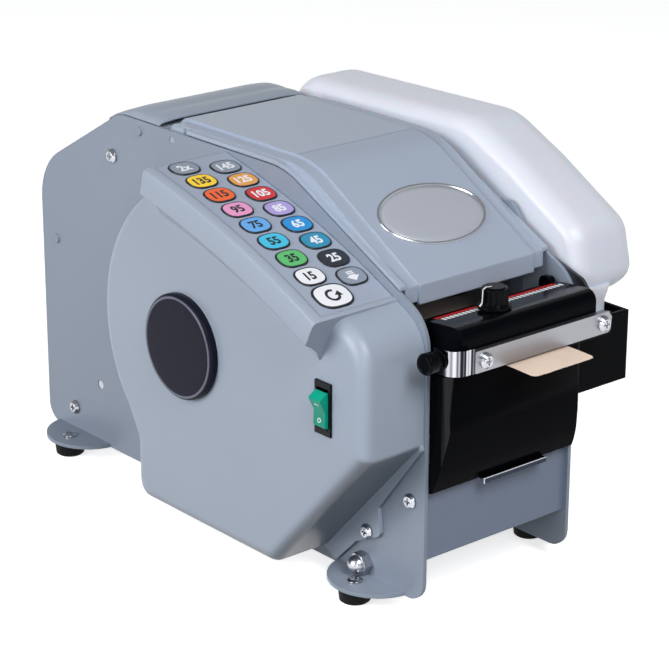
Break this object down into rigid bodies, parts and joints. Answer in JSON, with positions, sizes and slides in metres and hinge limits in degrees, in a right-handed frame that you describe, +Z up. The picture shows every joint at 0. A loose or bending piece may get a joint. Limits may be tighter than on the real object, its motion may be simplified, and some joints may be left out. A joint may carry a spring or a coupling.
{
  "type": "gummed tape dispenser",
  "caption": "Counter-top electric dispenser for gummed paper tape, with a keypad housing on one side, a water bottle on the other, a hinged lid and a heated outlet with a guard bar.",
  "frame": {"origin": "on the table plane under the middle of the whole object's box", "axes": "+Z up, the tape comes out towards -Y, the water bottle is at +X and the keypad housing at -X"},
  "size_m": [0.242, 0.44, 0.2663],
  "materials": {
    "frame_paint": "satin blue-grey paint",
    "cover_paint": "fine satin blue-grey moulding",
    "lid_plastic": "fine satin blue-grey moulding",
    "overlay": "printed membrane",
    "black_gloss": "moulded black",
    "black_matte": "moulded black",
    "stainless": "brushed",
    "zinc": "bright zinc",
    "chrome": "polished",
    "blade_steel": "ground",
    "bracket_paint": "dark grey paint",
    "bottle_plastic": "translucent white",
    "rubber_black": "dull",
    "roller_rubber": "ground",
    "kraft": "brown paper",
    "bristle": "bristle",
    "switch_green": "moulded green",
    "board": "circuit board",
    "brass": "machined",
    "key_print": "printed key"
  },
  "bodies": {
    "frame": {"left_side_plate": "frame_paint", "right_side_plate": "frame_paint", "front_panel": "cover_paint", "rear_cover": "cover_paint", "coil_basket": "zinc", "tie_rods": "zinc", "side_cover": "cover_paint", "keypad_panel": "overlay", "side_badge": "black_gloss", "switch_bezel": "black_gloss", "bottle_bracket": "bracket_paint", "fixed_blade": "blade_steel", "drive_motor": "zinc", "cutter_solenoid": "zinc", "control_board": "board", "power_inlet": "black_matte", "rubber_feet": "rubber_black", "frame_screws": "zinc", "water_tank": "black_gloss", "water_brushes": "bristle", "gummed_tape": "kraft"},
    "lid": {"lid": "lid_plastic"},
    "heater": {"heater_housing": "black_gloss", "heater_plate": "blade_steel", "guard_bar": "stainless", "latch_clip": "chrome", "bar_screws": "zinc"},
    "heat_knob": {"heat_knob": "black_matte"},
    "latch_knob": {"latch_knob": "black_gloss"},
    "front_cover": {"front_cover": "black_gloss", "drip_lip": "stainless"},
    "bottle": {"water_bottle": "bottle_plastic", "bottle_cap": "bottle_plastic"},
    "switch_rocker": {"switch_rocker": "switch_green"},
    "tape_coil": {"tape_coil": "kraft"},
    "front_coil_roller": {"front_coil_roller": "zinc"},
    "rear_coil_roller": {"rear_coil_roller": "zinc"},
    "feed_roller": {"feed_roller": "roller_rubber", "drive_gear": "brass"},
    "motor_pinion": {"motor_pinion": "brass"},
    "pinch_roller": {"pinch_roller": "roller_rubber"},
    "cutter_blade": {"cutter_blade": "blade_steel"},
    "solenoid_plunger": {"solenoid_plunger": "zinc"},
    "key_double": {"key_double": "key_print"},
    "key_135": {"key_135": "key_print"},
    "key_115": {"key_115": "key_print"},
    "key_95": {"key_95": "key_print"},
    "key_75": {"key_75": "key_print"},
    "key_55": {"key_55": "key_print"},
    "key_35": {"key_35": "key_print"},
    "key_15": {"key_15": "key_print"},
    "key_145": {"key_145": "key_print"},
    "key_125": {"key_125": "key_print"},
    "key_105": {"key_105": "key_print"},
    "key_85": {"key_85": "key_print"},
    "key_65": {"key_65": "key_print"},
    "key_45": {"key_45": "key_print"},
    "key_25": {"key_25": "key_print"},
    "key_feed": {"key_feed": "key_print"},
    "key_repeat": {"key_repeat": "key_print"}
  },
  "joints": [
    {"name": "lid_hinge", "type": "hinge", "parent": "frame", "child": "lid", "pos_m": [0.004, 0.069, 0.246], "axis": [-1, 0, 0], "range_deg": [0, 92]},
    {"name": "heater_lift", "type": "hinge", "parent": "frame", "child": "heater", "pos_m": [0.004, -0.154, 0.184], "axis": [-1, 0, 0], "range_deg": [0, 32]},
    {"name": "heat_knob_turn", "type": "hinge", "parent": "heater", "child": "heat_knob", "pos_m": [-0.0085, -0.177, 0.2], "axis": [0, 0, 1], "range_deg": [0, 270]},
    {"name": "latch_pull", "type": "slide", "parent": "heater", "child": "latch_knob", "axis": [-1, 0, 0], "range_m": [0, 0.006], "stiffness_N_per_m": 600},
    {"name": "front_cover_pull", "type": "slide", "parent": "frame", "child": "front_cover", "axis": [0, -1, 0], "range_m": [0, 0.04]},
    {"name": "bottle_lift", "type": "slide", "parent": "frame", "child": "bottle", "axis": [0, 0, 1], "range_m": [0, 0.06]},
    {"name": "switch_rock", "type": "hinge", "parent": "frame", "child": "switch_rocker", "pos_m": [-0.101, -0.136, 0.1375], "axis": [0, 1, 0], "range_deg": [0, 24]},
    {"name": "coil_spin", "type": "hinge", "parent": "frame", "child": "tape_coil", "pos_m": [0.008, 0.105, 0.142], "axis": [1, 0, 0], "continuous": true},
    {"name": "front_roller_spin", "type": "hinge", "parent": "frame", "child": "front_coil_roller", "pos_m": [0.004, 0.05385, 0.05341], "axis": [1, 0, 0], "continuous": true},
    {"name": "rear_roller_spin", "type": "hinge", "parent": "frame", "child": "rear_coil_roller", "pos_m": [0.004, 0.15615, 0.05341], "axis": [1, 0, 0], "continuous": true},
    {"name": "feed_spin", "type": "hinge", "parent": "frame", "child": "feed_roller", "pos_m": [0.004, -0.101, 0.14], "axis": [1, 0, 0], "continuous": true},
    {"name": "pinion_spin", "type": "hinge", "parent": "frame", "child": "motor_pinion", "pos_m": [-0.0685, -0.07075, 0.14], "axis": [1, 0, 0], "continuous": true},
    {"name": "pinch_spin", "type": "hinge", "parent": "frame", "child": "pinch_roller", "pos_m": [0.004, -0.101, 0.1709], "axis": [1, 0, 0], "continuous": true},
    {"name": "blade_chop", "type": "hinge", "parent": "frame", "child": "cutter_blade", "pos_m": [0.054, -0.123, 0.176], "axis": [0, -1, 0], "range_deg": [0, 5], "stiffness_Nm_per_rad": 1.5, "springref_deg": -2.86},
    {"name": "plunger_pull", "type": "slide", "parent": "frame", "child": "solenoid_plunger", "axis": [0, 0, -1], "range_m": [0, 0.008]},
    {"name": "key_double_press", "type": "slide", "parent": "frame", "child": "key_double", "axis": [0, 0.2228, -0.9749], "range_m": [0, 0.0005], "stiffness_N_per_m": 1600},
    {"name": "key_135_press", "type": "slide", "parent": "frame", "child": "key_135", "axis": [0, 0.2473, -0.9689], "range_m": [0, 0.0005], "stiffness_N_per_m": 1600},
    {"name": "key_115_press", "type": "slide", "parent": "frame", "child": "key_115", "axis": [0, 0.2717, -0.9624], "range_m": [0, 0.0005], "stiffness_N_per_m": 1600},
    {"name": "key_95_press", "type": "slide", "parent": "frame", "child": "key_95", "axis": [0, 0.2959, -0.9552], "range_m": [0, 0.0005], "stiffness_N_per_m": 1600},
    {"name": "key_75_press", "type": "slide", "parent": "frame", "child": "key_75", "axis": [0, 0.3198, -0.9475], "range_m": [0, 0.0005], "stiffness_N_per_m": 1600},
    {"name": "key_55_press", "type": "slide", "parent": "frame", "child": "key_55", "axis": [0, 0.3436, -0.9391], "range_m": [0, 0.0005], "stiffness_N_per_m": 1600},
    {"name": "key_35_press", "type": "slide", "parent": "frame", "child": "key_35", "axis": [0, 0.3672, -0.9301], "range_m": [0, 0.0005], "stiffness_N_per_m": 1600},
    {"name": "key_15_press", "type": "slide", "parent": "frame", "child": "key_15", "axis": [0, 0.3905, -0.9206], "range_m": [0, 0.0005], "stiffness_N_per_m": 1600},
    {"name": "key_145_press", "type": "slide", "parent": "frame", "child": "key_145", "axis": [0, 0.2341, -0.9722], "range_m": [0, 0.0005], "stiffness_N_per_m": 1600},
    {"name": "key_125_press", "type": "slide", "parent": "frame", "child": "key_125", "axis": [0, 0.2585, -0.966], "range_m": [0, 0.0005], "stiffness_N_per_m": 1600},
    {"name": "key_105_press", "type": "slide", "parent": "frame", "child": "key_105", "axis": [0, 0.2828, -0.9592], "range_m": [0, 0.0005], "stiffness_N_per_m": 1600},
    {"name": "key_85_press", "type": "slide", "parent": "frame", "child": "key_85", "axis": [0, 0.3069, -0.9517], "range_m": [0, 0.0005], "stiffness_N_per_m": 1600},
    {"name": "key_65_press", "type": "slide", "parent": "frame", "child": "key_65", "axis": [0, 0.3308, -0.9437], "range_m": [0, 0.0005], "stiffness_N_per_m": 1600},
    {"name": "key_45_press", "type": "slide", "parent": "frame", "child": "key_45", "axis": [0, 0.3545, -0.9351], "range_m": [0, 0.0005], "stiffness_N_per_m": 1600},
    {"name": "key_25_press", "type": "slide", "parent": "frame", "child": "key_25", "axis": [0, 0.3779, -0.9258], "range_m": [0, 0.0005], "stiffness_N_per_m": 1600},
    {"name": "key_feed_press", "type": "slide", "parent": "frame", "child": "key_feed", "axis": [0, 0.4012, -0.916], "range_m": [0, 0.0005], "stiffness_N_per_m": 1600},
    {"name": "key_repeat_press", "type": "slide", "parent": "frame", "child": "key_repeat", "axis": [0, 0.4151, -0.9098], "range_m": [0, 0.0005], "stiffness_N_per_m": 1600}
  ],
  "couplings": [
    {"joint": "front_roller_spin", "follows": "coil_spin", "ratio": -9.2},
    {"joint": "rear_roller_spin", "follows": "coil_spin", "ratio": -9.2},
    {"joint": "pinion_spin", "follows": "feed_spin", "ratio": -4},
    {"joint": "pinch_spin", "follows": "feed_spin", "ratio": -2},
    {"joint": "plunger_pull", "follows": "blade_chop", "m_per_rad": 0.086}
  ]
}
